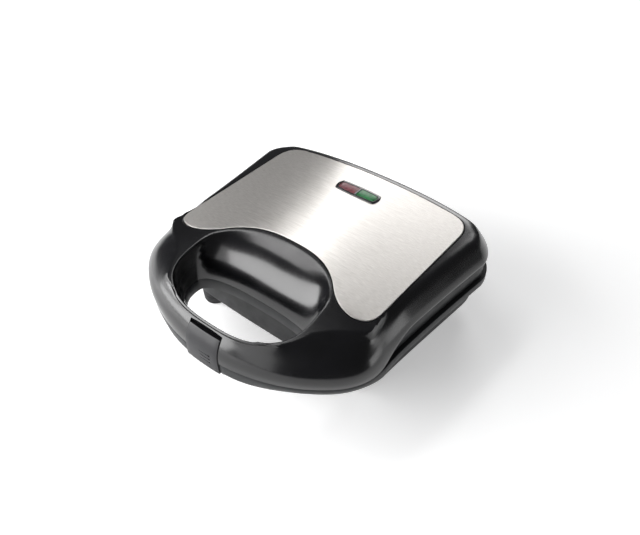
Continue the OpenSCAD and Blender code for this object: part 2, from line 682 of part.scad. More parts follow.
// Inner lid moulding: satin side band and the plate's surround
module lid_frame() color("#2f3134") difference() {
  low = part_z + part_gap;
  n = n_body;
  ring_solid([
    [for (p = inset(body, 3)) [p[0], p[1], low]],
    [for (p = inset(body, 3)) [p[0], p[1], max(low + wall, edge_z(p[1]) - 0.2)]],
    [for (p = inset(body, tongue_in)) [p[0], p[1], max(low + wall + 0.1,
      edge_z(p[1]) - 0.1)]],
    [for (p = inset(body, tongue_in)) [p[0], p[1], max(low + wall + 0.2,
      edge_z(p[1]) + 2)]]], n, false);
  difference() {
    slab(low + wall, 100) polygon(inset(body, tongue_in + 2));
    slab(0, low + wall + 4) difference() {
      grill_area(2.4);
      grill_area(-ledge_in);
    }
  }
  slab(0, 100) low_opening(wall + 1.4);
  slab(0, 100) grill_area(-ledge_in);
  slab(0, 2 * part_z + part_gap - flange_low) grill_area(0.4);
  translate([-clip_x - 1.2, -bow_front - 10, 30])
    cube([2 * clip_x + 2.4, 14.4, 60]);
  slab(low + wall, 100) intersection() {
    square([2 * (cheek_x + cheek_t) + 1, 2 * far], center = true);
    forward_of(-100);
  }
  flip_to_lid() plate_screw_holes(0, flange_low + 1);
  for (x = [-lid_post_x, lid_post_x]) translate([x, lid_post_y, 0]) {
    cylinder(r = 1.7, h = far, $fn = fine);
    cylinder(r = 3, h = lid_head_z, $fn = fine);
  }
  hinge_room(part_z - 5, part_z + 8.5);
  translate([0, -1.2, 0]) hinge_room(part_z + lid_floor, part_z + 8.5);
}
// Inset of the tongue that locates the shell, inside the shell's wall
tongue_in = 6;
lid_head_z = part_z + part_gap + 1.3;
module top_plate() color("#c9c9cb") difference() {
  intersection() {
    slab(top_low, top_high) polygon(steel);
    crown_bar(-steel_proud);
    above_crown(steel_t - steel_proud);
  }
  translate([0, lamp_y]) slab(top_low, top_high) lamp_window(0.15);
}
// Barrel-shaped window with bowed long sides and slanting ends
window_path = [
  [[0, -lamp_d], [lamp_x * 0.35, -lamp_d], [lamp_x * 0.7, -lamp_d + 0.3],
   [lamp_x - 2.2, -lamp_d + 1.1]],
  [[lamp_x - 2.2, -lamp_d + 1.1], [lamp_x + 0.2, -2.4], [lamp_x + 0.2, 2.4],
   [lamp_x - 2.2, lamp_d - 1.1]],
  [[lamp_x - 2.2, lamp_d - 1.1], [lamp_x * 0.7, lamp_d - 0.3],
   [lamp_x * 0.35, lamp_d], [0, lamp_d]]];
module lamp_window(g) polygon(inset(closed(window_path, [5, 6, 5]), -g));
bezel_low = land_z + crown - steel_t + steel_proud;
bezel_top = land_z + crown + 1;
module lamp_bezel() color("#101012") translate([0, lamp_y, 0]) difference() {
  slab(bezel_low, bezel_top) lamp_window(0);
  for (sx = [-1, 1]) lens_cut(sx, 0.1);
}
// Width of the black border round the lenses
bezel_rim = 2.2;
module lens_cut(sx, g) slab(top_low, top_high) intersection() {
  lamp_window(-bezel_rim + g);
  translate([sx * (lamp_x / 2 + 0.4), 0])
    square([lamp_x - 0.8 + 2 * g, 40], center = true);
}
module lens(sx) translate([0, lamp_y, 0]) intersection() {
  lens_cut(sx, 0);
  slab(bezel_low, bezel_top - 0.3) square([2 * far, 2 * far], center = true);
}
module red_lens() color("#7d4347") lens(-1);
module green_lens() color("#1f6b3a") lens(1);
holder_top = land_z + crown - wall - 0.2;
lamp_r = 2;
module lamp_holder() color("#ded9cc") translate([0, lamp_y, 0]) difference() {
  slab(holder_top - 10, holder_top) square([34, 9.6], center = true);
  for (sx = [-1, 1]) translate([sx * 8, 0, 0])
    slab(holder_top - 8.5, far) square([13, 7], center = true);
}
module lamp(sx) translate([sx * 8 - 5.5, lamp_y, holder_top - 8.5 + lamp_r])
  rotate([0, 90, 0]) cylinder(r = lamp_r, h = 11, $fn = fine);
module red_lamp() color("#e08a5a") lamp(-1);
module green_lamp() color("#9fd6a8") lamp(1);
module lid_screws() color("#a9aaac") for (x = [-lid_post_x, lid_post_x])
  translate([x, lid_post_y, lid_head_z]) {
    translate([0, 0, -1.2]) cylinder(r = 2.7, h = 1.2, $fn = fine);
    translate([0, 0, -eps]) cylinder(r = 1.4, h = 12, $fn = fine);
  }

// ---- latch ---------------------------------------------------------------
pivot_y = -105.4;
pivot_z = 61.5;
barrel_r = 2.5;
barrel_x = 14.8;
cheek_x = 15.1;
cheek_t = 1.8;
latch_bore = latch_pin_r + 0.05;
// Outer and inner face of the clip, flush with the handle
clip_front = -bow_front - 0.3;
clip_outer = [[clip_front, clip_low], [clip_front - 0.1, 50],
  [clip_front + 0.6, 55.5], [clip_front + 2.5, 61], [clip_front + 5.6, clip_top]];
clip_inner = [[clip_front + 6.9, clip_top], [clip_front + 5.1, 61],
  [clip_front + 3.3, 55.5], [clip_front + 2.7, 50], [clip_front + 2.8, clip_low]];
module in_x(w) rotate([90, 0, 90]) translate([0, 0, -w]) linear_extrude(2 * w)
  children();
module latch_clip() color("#4a494d") difference() {
  union() {
    intersection() {
      in_x(40) polygon(concat(clip_outer, clip_inner));
      translate([0, -90, 0]) rotate([90, 0, 0]) linear_extrude(40)
        polygon([[-clip_x, clip_low], [clip_x, clip_low], [clip_top_x, clip_top],
          [-clip_top_x, clip_top]]);
    }
    translate([0, pivot_y, pivot_z]) along_x(barrel_r, -barrel_x, barrel_x);
    in_x(12) polygon([[pivot_y, pivot_z - 1.7], [pivot_y, pivot_z + 1.7],
      [clip_front + 4.2, pivot_z + 1.7], [clip_front + 3.4, pivot_z - 1.7]]);
    in_x(8) polygon([[clip_front + 2, 39.6], [catch_y - 0.6, 41],
      [catch_y - 0.6, 42.2], [clip_front + 2, 43.4]]);
  }
  translate([0, pivot_y, pivot_z]) along_x(latch_bore, -30, 30);
  for (i = [0:2]) translate([-1.5, clip_front - 1.5, 44.4 + i * 3.2])
    rotate([0, 8, 0]) cube([9, 2, 0.7]);
}
module latch_pin() color("#b4b5b7") translate([0, pivot_y, pivot_z])
  along_x(latch_pin_r, -cheek_x - cheek_t - 0.3, cheek_x + cheek_t + 0.3);
module latch_bracket() color("#3a3c40") difference() {
  union() {
    for (sx = [-1, 1]) translate([sx > 0 ? cheek_x : -cheek_x - cheek_t,
      pivot_y - 2.2, part_z + lid_floor])
      cube([cheek_t, 4.4, pivot_z - part_z - lid_floor + 2.6]);
    translate([-cheek_x - cheek_t, pivot_y - 2.2, part_z + lid_floor])
      cube([2 * (cheek_x + cheek_t), 6, 2]);
  }
  translate([0, pivot_y, pivot_z]) along_x(latch_bore, -30, 30);
}

base_tray();
base_frame();
lower_grill_plate();
lower_heater();
lower_reflector();
lower_heater_clips();
lower_plate_screws();
thermostat();
thermal_fuse();
terminal_block();
cord_bush();
cord_clamp();
base_screws();
foot_front_left();
foot_front_right();
foot_rear_left();
foot_rear_right();
base_hinge_left();
base_hinge_right();
hinge_pin_left();
hinge_pin_right();
lid_shell();
lid_frame();
top_plate();
lamp_bezel();
red_lens();
green_lens();
lamp_holder();
red_lamp();
green_lamp();
upper_grill_plate();
upper_heater();
upper_reflector();
upper_heater_clips();
upper_plate_screws();
lid_screws();
lid_hinge_left();
lid_hinge_right();
latch_bracket();
latch_clip();
latch_pin();
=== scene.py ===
import math

import bmesh
import bpy
from mathutils import Matrix, Vector


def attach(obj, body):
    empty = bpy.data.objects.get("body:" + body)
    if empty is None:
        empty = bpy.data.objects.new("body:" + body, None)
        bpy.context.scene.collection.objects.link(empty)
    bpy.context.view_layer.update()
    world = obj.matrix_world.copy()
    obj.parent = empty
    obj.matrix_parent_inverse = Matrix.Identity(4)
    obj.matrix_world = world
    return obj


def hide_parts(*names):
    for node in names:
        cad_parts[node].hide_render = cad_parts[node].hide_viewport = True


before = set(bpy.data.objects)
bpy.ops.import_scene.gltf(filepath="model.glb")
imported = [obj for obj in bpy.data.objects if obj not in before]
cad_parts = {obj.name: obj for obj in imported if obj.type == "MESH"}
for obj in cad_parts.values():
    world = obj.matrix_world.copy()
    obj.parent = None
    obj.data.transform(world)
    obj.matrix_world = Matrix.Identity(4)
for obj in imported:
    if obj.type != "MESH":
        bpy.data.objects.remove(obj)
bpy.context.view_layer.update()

mm = 0.001
print("stage: frame loaded")

# The lid's and base's outlines, in mm, on the right half from front to rear
outline = {
    "body": ([
        ((0, -113.5), (32, -113.5), (60, -104.5), (82, -87.5)),
        ((82, -87.5), (94.7, -77.7), (105.9, -66), (104.5, -42)),
        ((104.5, -42), (103.5, -24), (109.5, 35), (113.5, 70)),
        ((113.5, 70), (114.5, 82), (104.5, 100), (88, 103.5)),
        ((88, 103.5), (64, 108.3), (30, 109), (0, 109))],
        (24, 26, 24, 30, 20)),
    "tray": ([
        ((0, -50.5), (25, -50.5), (48, -50), (70, -48.5)),
        ((70, -48.5), (85, -47.5), (94.5, -42), (95.5, -28)),
        ((95.5, -28), (97, 0), (101, 40), (103.5, 68)),
        ((103.5, 68), (104.5, 86), (99, 95.5), (82, 97)),
        ((82, 97), (55, 99), (28, 100), (0, 100))],
        (10, 16, 12, 20, 12)),
    "steel": ([
        ((0, -14.5), (22, -14.5), (36, -19), (49, -32)),
        ((49, -32), (57, -41), (66, -48), (78, -47.5)),
        ((78, -47.5), (86, -47), (90, -42), (90, -33)),
        ((90, -33), (90, 0), (90, 40), (90, 68)),
        ((90, 68), (90, 80), (85, 87), (74, 88.5)),
        ((74, 88.5), (50, 90.8), (25, 91.5), (0, 91.5))],
        (28, 20, 16, 24, 20, 20)),
}

lid = {
    "parting": 48.3, "shellEdge": 62, "land": 79, "crown": 4, "crownReach": 95,
    "gripFall": 6.7,
    # inset and height of the shell's skin along the sides, and along the bow
    "side": ((1.6, 62), (1.6, 63.8), (3.3, 67.4), (6.0, 71.6), (9.1, 75.9),
             (11.8, 78.4), (13.2, 79)),
    "front": ((0, 48.3), (0.3, 53.5), (1.6, 58.5), (4.2, 63.5), (7.2, 67.8),
              (9.2, 70.8), (10.6, 72.3)),
    "crownShare": (0, 0.05, 0.25, 0.55, 0.85, 1, 1),
    # the handle's two corners swell out over the parting line
    "swell": 1.6, "swellShare": (0, 0.7, 1, 0.7, 0.3, 0, 0),
}

finger = {
    "a": 57.5, "lowA": 55, "y": -66, "front": 37.5, "lowFront": 29, "rear": 14.5,
    "roll": 35.5, "power": 0.8, "bottom": 48.3, "rollPower": 1.8,
    # share of the wall's height, share of the rim's size
    "levels": ((0, 0.05), (0.2, 0.2), (0.41, 0.44), (0.61, 0.76), (0.78, 0.93),
               (1, 1)),
}


# ---- curves and surfaces the pieces share ---------------------------------
def bezier(p, t):
    u = 1 - t
    return tuple(u**3 * a + 3 * t * u * u * b + 3 * t * t * u * c + t**3 * d
                 for a, b, c, d in zip(*p))


def closedOutline(name):
    path, steps = outline[name]
    right = []
    for piece, count in zip(path, steps):
        right += [bezier(piece, i / count) for i in range(count)]
    last = path[-1][3]
    return right + [last] + [(-x, y) for x, y in reversed(right[1:])]


def inwards(points):
    normals = []
    for i, p in enumerate(points):
        a, b = points[i - 1], points[(i + 1) % len(points)]
        dx, dy = b[0] - a[0], b[1] - a[1]
        long = math.hypot(dx, dy)
        normals.append((-dy / long, dx / long))
    return normals


def inset(points, amount):
    return [(p[0] + n[0] * amount, p[1] + n[1] * amount)
            for p, n in zip(points, inwards(points))]


def ease(a, b, x):
    t = min(1, max(0, (x - a) / (b - a)))
    return t * t * (3 - 2 * t)


def frontPart(y):
    return 1 - ease(-58, -12, y)


def crownAt(x, y):
    return lid["crown"] * ease(-90, -40, y) * max(0, 1 - (x / lid["crownReach"])**2)


def landZ(x, y):
    fall = lid["gripFall"] * (max(0, -45 - y) / 60)**1.2
    return lid["land"] - fall + crownAt(x, y)


def smoothThrough(values, t):
    # a Catmull-Rom curve through evenly spaced values, t from 0 to 1
    last = len(values) - 1
    k = min(last - 1, int(t * last))
    f = t * last - k
    a, b, c, d = (values[min(last, max(0, k + j))] for j in (-1, 0, 1, 2))
    return tuple(0.5 * (2 * q + (r - p) * f + (2 * p - 5 * q + 4 * r - s) * f * f
                        + (3 * q - p - 3 * r + s) * f**3)
                 for p, q, r, s in zip(a, b, c, d))


def cornerPart(x, y):
    # 1 at the handle's two corners, 0 at its middle and along the sides
    return ease(25, 75, abs(x)) * (1 - ease(-72, -42, y))


def edgeZ(y):
    w = frontPart(y)
    return lid["shellEdge"] * (1 - w) + lid["parting"] * w


def levelAt(share):
    # how far the opening has widened and rolled back at a share of its height
    rows = finger["levels"]
    power = finger["rollPower"]
    roll = 1 - (1 - min(1, share)**power)**(1 / power)
    share **= 1.25
    for low, high in zip(rows, rows[1:]):
        if share <= high[0]:
            f = (share - low[0]) / (high[0] - low[0])
            f = f * f * (3 - 2 * f) * 0.5 + f * 0.5
            return low[1] + f * (high[1] - low[1]), roll
    return 1, 1


def signedPow(v):
    return math.copysign(abs(v)**finger["power"], v)


def fingerPoint(t, rim, roll, grow=0.0):
    a = finger["lowA"] + (finger["a"] - finger["lowA"]) * rim + grow
    if math.sin(t) < 0:
        b = finger["lowFront"] + (finger["front"] - finger["lowFront"]) * rim + grow
    else:
        b = finger["rear"] + grow + finger["roll"] * roll
    return a * signedPow(math.cos(t)), finger["y"] + b * signedPow(math.sin(t))


def fingerOval(count, grow=0.0):
    return [fingerPoint(2 * math.pi * i / count, 0, 0, grow) for i in range(count)]


def roundedRect(halfX, y0, y1, radius, steps=10):
    points = []
    for cx, cy, start in ((halfX - radius, y0 + radius, -90),
                          (halfX - radius, y1 - radius, 0),
                          (-halfX + radius, y1 - radius, 90),
                          (-halfX + radius, y0 + radius, 180)):
        for i in range(steps + 1):
            a = math.radians(start + 90 * i / steps)
            points.append((cx + radius * math.cos(a), cy + radius * math.sin(a)))
    return points


# ---- mesh helpers ----------------------------------------------------------
def startRing(bm, places):
    ring = [bm.verts.new(Vector(p) * mm) for p in places]
    for a, b in zip(ring, ring[1:] + ring[:1]):
        bm.edges.new((a, b))
    return ring


def growRing(bm, ring, places):
    edges = [bm.edges.get((a, b)) for a, b in zip(ring, ring[1:] + ring[:1])]
    made = bmesh.ops.extrude_edge_only(bm, edges=edges)["geom"]
    fresh = {g for g in made if isinstance(g, bmesh.types.BMVert)}
    grown = [next(e.other_vert(v) for e in v.link_edges if e.other_vert(v) in fresh)
             for v in ring]
    for v, p in zip(grown, places):
        v.co = Vector(p) * mm
    return grown


def closeRing(bm, ring):
    edges = [bm.edges.get((a, b)) for a, b in zip(ring, ring[1:] + ring[:1])]
    bmesh.ops.edgeloop_fill(bm, edges=edges)


def skinOf(rings, capFirst=True, capLast=True):
    bm = bmesh.new()
    ring = startRing(bm, rings[0])
    if capFirst:
        closeRing(bm, ring)
    for places in rings[1:]:
        ring = growRing(bm, ring, places)
    if capLast:
        closeRing(bm, ring)
    bmesh.ops.recalc_face_normals(bm, faces=bm.faces)
    return bm


def flat(points, z):
    return [(x, y, z) for x, y in points]


def toObject(bm, name):
    mesh = bpy.data.meshes.new(name)
    bm.to_mesh(mesh)
    bm.free()
    thing = bpy.data.objects.new(name, mesh)
    bpy.context.scene.collection.objects.link(thing)
    return thing


def prism(name, points, z0, z1):
    return toObject(skinOf([flat(points, z0), flat(points, z1)]), name)


def block(name, low, high):
    bm = bmesh.new()
    bmesh.ops.create_cube(bm, size=1)
    size = [h - l for l, h in zip(low, high)]
    middle = [(h + l) / 2 for l, h in zip(low, high)]
    bmesh.ops.scale(bm, vec=Vector(size) * mm, verts=bm.verts)
    bmesh.ops.translate(bm, vec=Vector(middle) * mm, verts=bm.verts)
    return toObject(bm, name)


def applyModifiers(thing):
    depsgraph = bpy.context.evaluated_depsgraph_get()
    mesh = bpy.data.meshes.new_from_object(thing.evaluated_get(depsgraph))
    old = thing.data
    thing.modifiers.clear()
    thing.data = mesh
    bpy.data.meshes.remove(old)


def carve(thing, cutters, operation="DIFFERENCE"):
    for cutter in cutters:
        cut = thing.modifiers.new("cut", "BOOLEAN")
        cut.object = cutter
        cut.operation = operation
        cut.solver = "EXACT"
    applyModifiers(thing)
    for cutter in cutters:
        bpy.data.objects.remove(cutter)


def soften(thing, width=0.35, segments=2, angle=38):
    bevel = thing.modifiers.new("edges", "BEVEL")
    bevel.width = width * mm
    bevel.segments = segments
    bevel.limit_method = "ANGLE"
    bevel.angle_limit = math.radians(angle)
    bevel.use_clamp_overlap = True
    bevel.harden_normals = False
    applyModifiers(thing)


def shade(thing, angle=32):
    mesh = thing.data
    mesh.polygons.foreach_set("use_smooth", [True] * len(mesh.polygons))
    bm = bmesh.new()
    bm.from_mesh(mesh)
    limit = math.radians(angle)
    for edge in bm.edges:
        edge.smooth = len(edge.link_faces) == 2 and edge.calc_face_angle(0) < limit
    bm.to_mesh(mesh)
    bm.free()


def dress(thing, material, body, nodes=()):
    thing.data.materials.clear()
    thing.data.materials.append(material)
    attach(thing, body)
    if nodes:
        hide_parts(*nodes)
    return thing


# ---- materials -------------------------------------------------------------
def toLinear(hexColour):
    out = []
    for i in (1, 3, 5):
        v = int(hexColour[i:i + 2], 16) / 255
        out.append(v / 12.92 if v <= 0.04045 else ((v + 0.055) / 1.055)**2.4)
    return (*out, 1)


def addNode(tree, kind, settings=None, inputs=None, links=None):
    node = tree.nodes.new(kind)
    for key, value in (settings or {}).items():
        setattr(node, key, value)
    for key, value in (inputs or {}).items():
        node.inputs[key].default_value = value
    for key, socket in (links or {}).items():
        tree.links.new(socket, node.inputs[key])
    return node


def newMaterial(name, shaderInputs):
    material = bpy.data.materials.new(name)
    material.use_nodes = True
    tree = material.node_tree
    shader = tree.nodes["Principled BSDF"]
    for key, value in shaderInputs.items():
        shader.inputs[key].default_value = value
    place = addNode(tree, "ShaderNodeTexCoord").outputs["Object"]
    return material, tree, shader, place


def grain(tree, shader, place, size, height, detail=2.0, stretch=(1, 1, 1)):
    # size and height of the surface's texture are real millimetres
    mapping = addNode(tree, "ShaderNodeMapping", inputs={"Scale": stretch},
                      links={"Vector": place}).outputs[0]
    noise = addNode(tree, "ShaderNodeTexNoise",
                    inputs={"Scale": 1 / (size * mm), "Detail": detail},
                    links={"Vector": mapping}).outputs["Fac"]
    bump = addNode(tree, "ShaderNodeBump",
                   inputs={"Strength": 1.0, "Distance": height * mm},
                   links={"Height": noise}).outputs[0]
    tree.links.new(bump, shader.inputs["Normal"])
    return noise


def varied(tree, shader, place, socket, size, low, high, detail=3.0):
    noise = addNode(tree, "ShaderNodeTexNoise",
                    inputs={"Scale": 1 / (size * mm), "Detail": detail},
                    links={"Vector": place}).outputs["Fac"]
    spread = addNode(tree, "ShaderNodeMapRange",
                     inputs={"From Min": 0.35, "From Max": 0.65, "To Min": low,
                             "To Max": high}, links={"Value": noise}).outputs[0]
    tree.links.new(spread, shader.inputs[socket])
    return noise


def tinted(tree, shader, factor, dark, light, low=0.35, high=0.65):
    ramp = addNode(tree, "ShaderNodeValToRGB", links={"Fac": factor})
    ramp.color_ramp.elements[0].position = low
    ramp.color_ramp.elements[0].color = toLinear(dark)
    ramp.color_ramp.elements[1].position = high
    ramp.color_ramp.elements[1].color = toLinear(light)
    tree.links.new(ramp.outputs["Color"], shader.inputs["Base Color"])


def pianoBlackAbs():
    # high-gloss ABS from a polished mould: near black, slightly soft reflections
    material, tree, shader, place = newMaterial("pianoBlackAbs", {
        "IOR": 1.53, "Coat Weight": 0.15, "Coat Roughness": 0.1, "Coat IOR": 1.5})
    flow = grain(tree, shader, place, 14, 0.004, 1.0)  # faint flow of the moulding
    tinted(tree, shader, flow, "#09090b", "#0d0d10")
    varied(tree, shader, place, "Roughness", 30, 0.19, 0.24)
    return material


def satinAbs(name, dark, light, roughness=0.42):
    # ABS from a fine spark-eroded mould: even satin, soft broad highlights
    material, tree, shader, place = newMaterial(name, {
        "IOR": 1.53, "Specular IOR Level": 0.35})
    speck = grain(tree, shader, place, 0.35, 0.012, 2.0)  # about twice the real grit
    tinted(tree, shader, speck, dark, light)
    varied(tree, shader, place, "Roughness", 12, roughness - 0.04, roughness + 0.05)
    return material


def brushedStainless():
    # 430 stainless sheet, belt-brushed along its width and coated clear
    material, tree, shader, place = newMaterial("brushedStainless", {
        "Metallic": 1.0, "Anisotropic": 0.97})
    # strokes 0.12 mm across and some 30 mm long
    stroke = addNode(tree, "ShaderNodeMapping", inputs={"Scale": (0.004, 1, 1)},
                     links={"Vector": place}).outputs[0]
    lines = addNode(tree, "ShaderNodeTexNoise",
                    inputs={"Scale": 1 / (0.3 * mm), "Detail": 3.0,
                            "Roughness": 0.65}, links={"Vector": stroke}).outputs["Fac"]
    tinted(tree, shader, lines, "#b9b5b1", "#d9d6d2", 0.3, 0.7)
    rough = addNode(tree, "ShaderNodeMapRange",
                    inputs={"From Min": 0.3, "From Max": 0.7, "To Min": 0.28,
                            "To Max": 0.33}, links={"Value": lines}).outputs[0]
    tree.links.new(rough, shader.inputs["Roughness"])
    bump = addNode(tree, "ShaderNodeBump",
                   inputs={"Strength": 0.5, "Distance": 0.004 * mm},
                   links={"Height": lines}).outputs[0]
    tree.links.new(bump, shader.inputs["Normal"])
    # the strokes blur reflections across their own direction
    tangent = addNode(tree, "ShaderNodeCombineXYZ", inputs={"Y": 1.0}).outputs[0]
    tree.links.new(tangent, shader.inputs["Tangent"])
    return material


def lensAcrylic(name, dark, light):
    # transparent-dyed acrylic over a ribbed diffuser, unlit
    material, tree, shader, place = newMaterial(name, {
        "Roughness": 0.3, "IOR": 1.49, "Specular IOR Level": 0.3})
    cells = addNode(tree, "ShaderNodeTexVoronoi", {"feature": "F1"},
                    {"Scale": 1 / (2.2 * mm), "Randomness": 0.8},
                    {"Vector": place}).outputs["Distance"]
    tinted(tree, shader, cells, dark, light, 0.15, 0.75)
    return material


def softRubber():
    # moulded nitrile rubber: matt, slightly dusty
    material, tree, shader, place = newMaterial("softRubber", {"IOR": 1.52})
    speck = grain(tree, shader, place, 0.5, 0.02)
    tinted(tree, shader, speck, "#131314", "#1c1c1d")
    varied(tree, shader, place, "Roughness", 6, 0.65, 0.8)
    return material


def nonStick():
    # die-cast aluminium with a sprayed non-stick coat: faint orange peel and sparkle
    material, tree, shader, place = newMaterial("nonStickCoat", {
        "Metallic": 0.25, "IOR": 1.45})
    peel = grain(tree, shader, place, 0.9, 0.02)
    tinted(tree, shader, peel, "#141415", "#232325", 0.4, 0.72)
    varied(tree, shader, place, "Roughness", 8, 0.3, 0.42)
    return material


def plainMetal(name, dark, light, roughness, size=3.0):
    # rolled or drawn sheet and wire, as it leaves the press
    material, tree, shader, place = newMaterial(name, {"Metallic": 1.0})
    cloud = varied(tree, shader, place, "Roughness", size, roughness - 0.06,
                   roughness + 0.08)
    tinted(tree, shader, cloud, dark, light)
    return material


def steatite():
    # pressed ceramic, unglazed: chalky cream
    material, tree, shader, place = newMaterial("steatite", {"IOR": 1.6})
    speck = grain(tree, shader, place, 0.6, 0.02)
    tinted(tree, shader, speck, "#cfc8b6", "#e2dccb")
    varied(tree, shader, place, "Roughness", 5, 0.6, 0.75)
    return material


gloss = pianoBlackAbs()
satin = satinAbs("satinCharcoalAbs", "#151719", "#1c1e20")
matt = satinAbs("grainedBlackPolypropylene", "#111214", "#17181a", 0.55)
clipSatin = satinAbs("satinGreyAbs", "#1d1d20", "#242427", 0.4)
steel = brushedStainless()
redLensFinish = lensAcrylic("redAcrylic", "#5c3035", "#85494f")
greenLensFinish = lensAcrylic("greenAcrylic", "#0e4d26", "#1f7a40")
rubber = softRubber()
coat = nonStick()
sheetMetal = plainMetal("brightAluminiumSheet", "#b4b5b8", "#d2d3d5", 0.3)
heaterMetal = plainMetal("oxidisedTubeSteel", "#5a5048", "#7d746c", 0.5)
zinc = plainMetal("zincPlatedSteel", "#9a9b9e", "#bcbdc0", 0.34, 1.5)
ceramic = steatite()
print("stage: materials made")


# ---- lid shell -------------------------------------------------------------
shellMake = {"wallSteps": 24, "landSteps": 22, "funnelSteps": 34, "rim": 1.1,
             "rearRim": 3, "rimSteps": 6, "crestSteps": 12, "wall": 1.9,
             # the crest's bend below and beyond its edge: least, and more at corners
             "bendBelow": (2.5, 9), "bendBeyond": (3, 19),
             "groove": 0.58, "grooveOut": 0.45}


def resample(points, count, warp=0.0):
    lengths = [0]
    for a, b in zip(points, points[1:]):
        lengths.append(lengths[-1] + math.dist(a, b))
    out, k = [], 0
    for i in range(count + 1):
        s = i / count
        s += warp * (s * s * (3 - 2 * s) - s)
        while k < len(points) - 2 and lengths[k + 1] < lengths[-1] * s:
            k += 1
        f = (lengths[-1] * s - lengths[k]) / (lengths[k + 1] - lengths[k] or 1)
        out.append(tuple(a + (b - a) * f for a, b in zip(points[k], points[k + 1])))
    return out


def splitAt(points, distance):
    # cuts a line of points in two at a distance from its start
    for i, (a, b) in enumerate(zip(points, points[1:])):
        step = math.dist(a, b)
        if step >= distance:
            cut = tuple(p + (q - p) * distance / step for p, q in zip(a, b))
            return points[:i + 1] + [cut], [cut] + points[i + 1:]
        distance -= step
    return points, points[-1:]


def lengthOf(points):
    return sum(math.dist(a, b) for a, b in zip(points, points[1:]))


def ringShare(point):
    # where a point lies in the rim of the finger opening, and its angle
    x, y = point[:2]
    a = finger["a"]
    b = finger["front"] if y < finger["y"] else finger["rear"] + finger["roll"]
    power = 1 / finger["power"]
    u = math.copysign(abs(x / a)**power, x)
    v = math.copysign(abs((y - finger["y"]) / b)**power, y - finger["y"])
    return math.hypot(u, v), math.atan2(v, u)


def topPath(point, normal):
    # from the shell's lower edge up its side and over the top to the opening's rim
    x, y = point
    w = frontPart(y)
    swell = lid["swell"] * cornerPart(x, y)
    path = []
    for i in range(61):
        side = smoothThrough(lid["side"], i / 60)
        front = smoothThrough(lid["front"], i / 60)
        share = smoothThrough([(s,) for s in lid["crownShare"]], i / 60)[0]
        out = smoothThrough([(s,) for s in lid["swellShare"]], i / 60)[0]
        away = side[0] * (1 - w) + front[0] * w - swell * out
        px, py = x + normal[0] * away, y + normal[1] * away
        path.append((px, py, side[1] * (1 - w) + front[1] * w
                     + share * crownAt(px, py)))
    wallLength = lengthOf(path)
    for i in range(1, 201):
        lx, ly = px * (1 - i / 200), py + (finger["y"] - py) * i / 200
        path.append((lx, ly, landZ(lx, ly)))
    for i in range(1, len(path)):
        if ringShare(path[i])[0] < 1:
            break
    a, b = path[i - 1], path[i]
    for _ in range(30):
        middle = tuple((p + q) / 2 for p, q in zip(a, b))
        if ringShare(middle)[0] < 1:
            b = middle
        else:
            a = middle
    return path[:i] + [b], wallLength


def roundedCrest(path, crest, below, beyond):
    # one smooth bend in place of the edge where the side meets the top
    start, rest = splitAt(path, crest - below)
    bend, end = splitAt(rest, below + beyond)
    corner = splitAt(path, crest)[1][0]
    steps = shellMake["crestSteps"]
    arc = [tuple((1 - t)**2 * p + 2 * t * (1 - t) * q + t * t * r
                 for p, q, r in zip(bend[0], corner, bend[-1]))
           for t in (i / steps for i in range(1, steps))]
    return start + arc + end


def sectionOf(point, normal):
    path, wallLength = topPath(point, normal)
    corner = path[-1]
    angle = ringShare(corner)[1]
    bottom = finger["bottom"]
    down = []
    for i in range(201):
        share = math.cos(math.pi / 2 * i / 200)**1.2
        rim, roll = levelAt(share)
        z = bottom + (corner[2] - bottom) * share
        down.append((*fingerPoint(angle, rim, roll), z))
    back = ease(-64, -40, corner[1])
    radius = shellMake["rim"] * (1 - back) + shellMake["rearRim"] * back
    before = splitAt(path, lengthOf(path) - radius)[0]
    room = lengthOf(before) - wallLength
    bend, share = cornerPart(*point), ease(1.5, 9, room)
    if share > 0.02:
        below, beyond = (shellMake[k][0] + shellMake[k][1] * bend
                         for k in ("bendBelow", "bendBeyond"))
        before = roundedCrest(before, wallLength, below * share,
                              min(beyond, room * 0.8) * share)
    after = splitAt(down, radius)[1]
    steps = shellMake["rimSteps"]
    arc = [tuple((1 - t)**2 * p + 2 * t * (1 - t) * q + t * t * r
                 for p, q, r in zip(before[-1], corner, after[0]))
           for t in (i / steps for i in range(steps + 1))]
    wall, land = splitAt(before, min(wallLength, lengthOf(before) - 0.8))
    return (resample(wall, shellMake["wallSteps"])
            + resample(land, shellMake["landSteps"], 0.5)[1:]
            + arc[1:] + resample(after, shellMake["funnelSteps"])[1:])


def makeShell():
    body = closedOutline("body")
    slices = [sectionOf(p, n) for p, n in zip(body, inwards(body))]
    rings = [[s[k] for s in slices] for k in range(len(slices[0]))]
    thing = toObject(skinOf(rings, False, False), "lidShellGloss")
    thick = thing.modifiers.new("wall", "SOLIDIFY")
    thick.thickness = shellMake["wall"] * mm
    thick.offset = -1
    applyModifiers(thing)
    return thing


def grooveCutter():
    # a thin round bead along the steel plate's edge
    edge = inset(closedOutline("steel"), -shellMake["grooveOut"])
    normals = inwards(edge)
    radius = shellMake["groove"]
    rings = []
    for k in range(9):
        a = 2 * math.pi * k / 8
        rings.append([(p[0] + n[0] * radius * math.cos(a),
                       p[1] + n[1] * radius * math.cos(a),
                       landZ(*p) + radius * 1.3 * math.sin(a))
                      for p, n in zip(edge, normals)])
    bm = skinOf(rings, False, False)
    bmesh.ops.remove_doubles(bm, verts=bm.verts, dist=1e-7)
    bmesh.ops.recalc_face_normals(bm, faces=bm.faces)
    return toObject(bm, "grooveCutter")


clip = {"halfLow": 15.5, "halfTop": 14.2, "low": 38.3, "top": 66, "gapTop": 71.2,
        "gap": 0.5}


